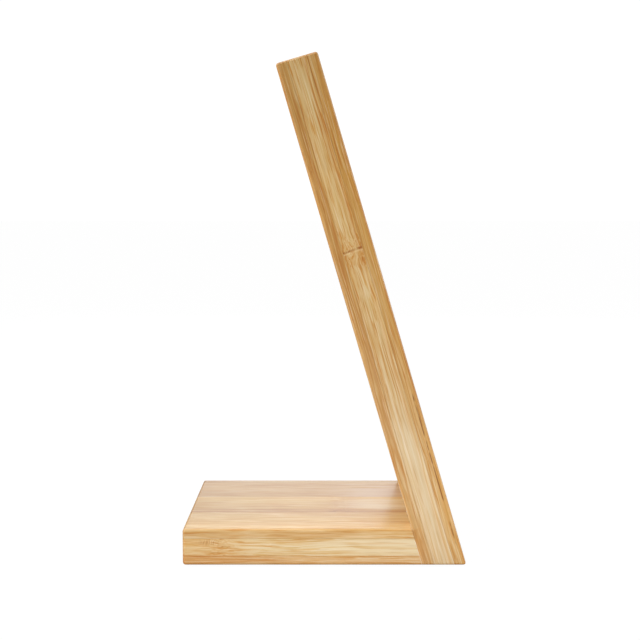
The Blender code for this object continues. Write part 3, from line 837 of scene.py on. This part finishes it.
# The shapes that cut the holes and pockets have done their work.
for cutter in [ring_groove, bar_pocket] + [hole for _, _, hole in dowel_holes + foot_holes]:
    bpy.data.objects.remove(cutter, do_unlink=True)


# ---------------------------------------------------------------------------
# Table top and room
# A wide studio table of white laminate, standing in a white room. Seen directly, both glow almost
# pure white, so that a piece on the table stands clear and without a shadow.
# ---------------------------------------------------------------------------

TABLE_HALF = 30.0
PURE_WHITE = (1, 1, 1, 1)
WHITE_GLOW = 1.05         # how brightly the table and the room glow where they are seen directly
TABLE_GLOW_SHARE = 0.93   # the rest of the table's look is its laminate
ROOM_LIGHT = 0.48         # and how much light the room gives the piece

shape = bmesh.new()
bmesh.ops.create_grid(shape, x_segments=1, y_segments=1, size=TABLE_HALF)
table = finish_mesh("table_top", shape)

# White laminate with a matt face: even, with hardly any shine.
white = bpy.data.materials.new("white_laminate")
white.use_nodes = True
tree = white.node_tree
shader = tree.nodes["Principled BSDF"]
shader.inputs["Base Color"].default_value = linear("#B4B4B4")
shader.inputs["Roughness"].default_value = 0.9
shader.inputs["Specular IOR Level"].default_value = 0.1
glow = add_node(tree, "ShaderNodeEmission", {}, {"Color": PURE_WHITE, "Strength": WHITE_GLOW})
seen = add_node(tree, "ShaderNodeLightPath")
share = add_node(tree, "ShaderNodeMath", {"operation": "MULTIPLY"}, {1: TABLE_GLOW_SHARE},
                 {0: seen.outputs["Is Camera Ray"]})
lit = add_node(tree, "ShaderNodeMixShader", {}, {}, {0: share, 1: shader, 2: glow})
tree.links.new(lit.outputs[0], tree.nodes["Material Output"].inputs["Surface"])
table.data.materials.append(white)

white_room = bpy.data.worlds.new("white_room")
bpy.context.scene.world = white_room
white_room.use_nodes = True
tree = white_room.node_tree
walls = tree.nodes["Background"]
walls.inputs["Color"].default_value = PURE_WHITE
walls.inputs["Strength"].default_value = ROOM_LIGHT
backdrop = add_node(tree, "ShaderNodeBackground", {},
                    {"Color": PURE_WHITE, "Strength": WHITE_GLOW})
seen = add_node(tree, "ShaderNodeLightPath")
either = add_node(tree, "ShaderNodeMixShader", {}, {},
                  {0: seen.outputs["Is Camera Ray"], 1: walls, 2: backdrop})
tree.links.new(either.outputs[0], tree.nodes["World Output"].inputs["Surface"])


# ---------------------------------------------------------------------------
# Lamps
# Soft rectangular lamps: a long narrow one low on the near side, a large strong one overhead, and
# a weaker one on each of the other sides. The low one leaves no highlight in the lacquer.
# ---------------------------------------------------------------------------

LAMPS = [
    # name, place, what it points at, width, height, power in watts
    ("near_side_low", (-0.25, -0.02, 0.03), (0.0, -0.02, 0.03), 0.45, 0.05, 0.33),
    ("overhead", (0.05, 0.40, 0.76), (0.0, 0.02, 0.0), 0.60, 0.80, 5.65),
    ("front", (0.15, -0.95, 0.35), (0.0, 0.0, 0.07), 0.60, 0.50, 3.0),
    ("far_side", (0.95, -0.10, 0.35), (0.0, 0.0, 0.07), 0.60, 0.50, 1.3),
    ("rear", (-0.15, 0.95, 0.35), (0.0, 0.0, 0.07), 0.60, 0.50, 3.2),
]
for name, place, target, width, height, power in LAMPS:
    lamp = bpy.data.lights.new(name, "AREA")
    lamp.shape = "RECTANGLE"
    lamp.size = width
    lamp.size_y = height
    lamp.energy = power
    holder = bpy.data.objects.new(name, lamp)
    bpy.context.scene.collection.objects.link(holder)
    holder.location = place
    holder.rotation_euler = (Vector(target) - Vector(place)).to_track_quat("-Z", "Y").to_euler()
    holder.visible_camera = False
    holder.visible_glossy = name != "near_side_low"

bpy.context.scene.view_settings.view_transform = "Standard"


# ---------------------------------------------------------------------------
# Camera
# Square to the near side, two thirds of the way up the stand and pitched a little down, with a
# long lens, so that the top of the base just shows.
# ---------------------------------------------------------------------------

CAMERA_AT = (-0.4601, 0.0015, 0.1235)
CAMERA_DIP = 4.91         # degrees below level
FILM_WIDTH = 36.0         # mm
LENS_LENGTH = 68.4        # mm
NEAREST_SEEN = 0.01       # metres

lens = bpy.data.cameras.new("side_camera")
lens.sensor_width = FILM_WIDTH
lens.lens = LENS_LENGTH
lens.clip_start = NEAREST_SEEN
camera = bpy.data.objects.new("side_camera", lens)
bpy.context.scene.collection.objects.link(camera)
camera.location = CAMERA_AT
camera.rotation_euler = (math.radians(90 - CAMERA_DIP), 0, math.radians(-90))
bpy.context.scene.camera = camera
